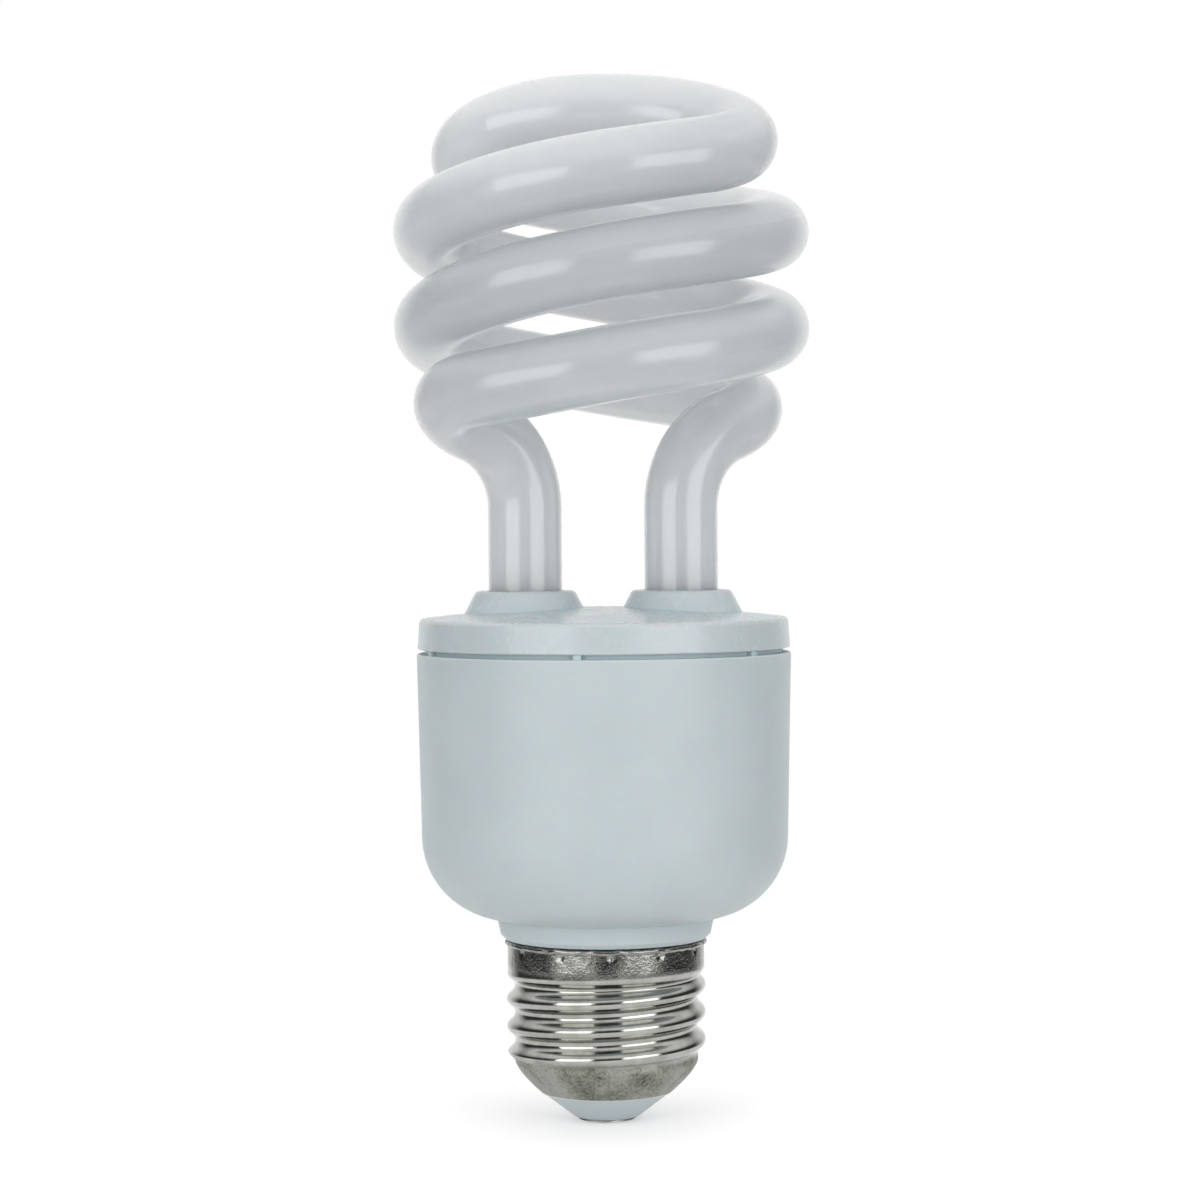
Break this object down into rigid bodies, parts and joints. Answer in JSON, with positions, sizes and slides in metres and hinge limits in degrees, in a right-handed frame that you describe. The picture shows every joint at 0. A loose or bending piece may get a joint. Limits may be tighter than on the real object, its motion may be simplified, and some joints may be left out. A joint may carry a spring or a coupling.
{
  "type": "spiral energy saving bulb",
  "caption": "Compact fluorescent bulb: white double-spiral discharge tube on a round ballast housing with a metal screw base and centre contact, for a screw lamp holder.",
  "frame": {"origin": "centre of the centre contact's flat face, on the axis of the screw base", "axes": "+Z along the base's axis towards the coil, +X towards the leg on the right in the picture, -Y towards the camera"},
  "size_m": [0.0546, 0.0547, 0.1381],
  "materials": {
    "phosphor_glass": "gloss",
    "white_plastic": "satin",
    "nickel_plate": "satin",
    "insulator": "satin",
    "contact_metal": "satin",
    "cement": "matt",
    "board": "matt",
    "ferrite": "matt",
    "copper_winding": "gloss",
    "bobbin_plastic": "satin",
    "capacitor_sleeve": "gloss",
    "film_dip": "gloss",
    "moulded_package": "matt",
    "resistor_coat": "matt",
    "lead_wire": "satin"
  },
  "bodies": {
    "root": {"discharge_tube": "phosphor_glass", "tube_collar": "white_plastic", "ballast_housing": "white_plastic", "screw_shell": "nickel_plate", "base_insulator": "insulator", "centre_contact": "contact_metal", "tube_cement_left": "cement", "tube_cement_right": "cement", "circuit_board": "board", "smoothing_capacitor": "capacitor_sleeve", "choke_core_upper": "ferrite", "choke_core_lower": "ferrite", "choke_bobbin": "bobbin_plastic", "choke_winding": "copper_winding", "drive_transformer_core": "ferrite", "drive_transformer_windings": "copper_winding", "start_capacitor": "film_dip", "blocking_capacitor": "film_dip", "fusible_resistor": "resistor_coat", "neutral_wire": "lead_wire", "power_transistor_1": "moulded_package", "bias_resistor_1": "resistor_coat", "power_transistor_2": "moulded_package", "bias_resistor_2": "resistor_coat", "rectifier_diode_1": "moulded_package", "filament_lead_1": "lead_wire", "rectifier_diode_2": "moulded_package", "filament_lead_2": "lead_wire", "rectifier_diode_3": "moulded_package", "filament_lead_3": "lead_wire", "rectifier_diode_4": "moulded_package", "filament_lead_4": "lead_wire"}
  },
  "joints": []
}
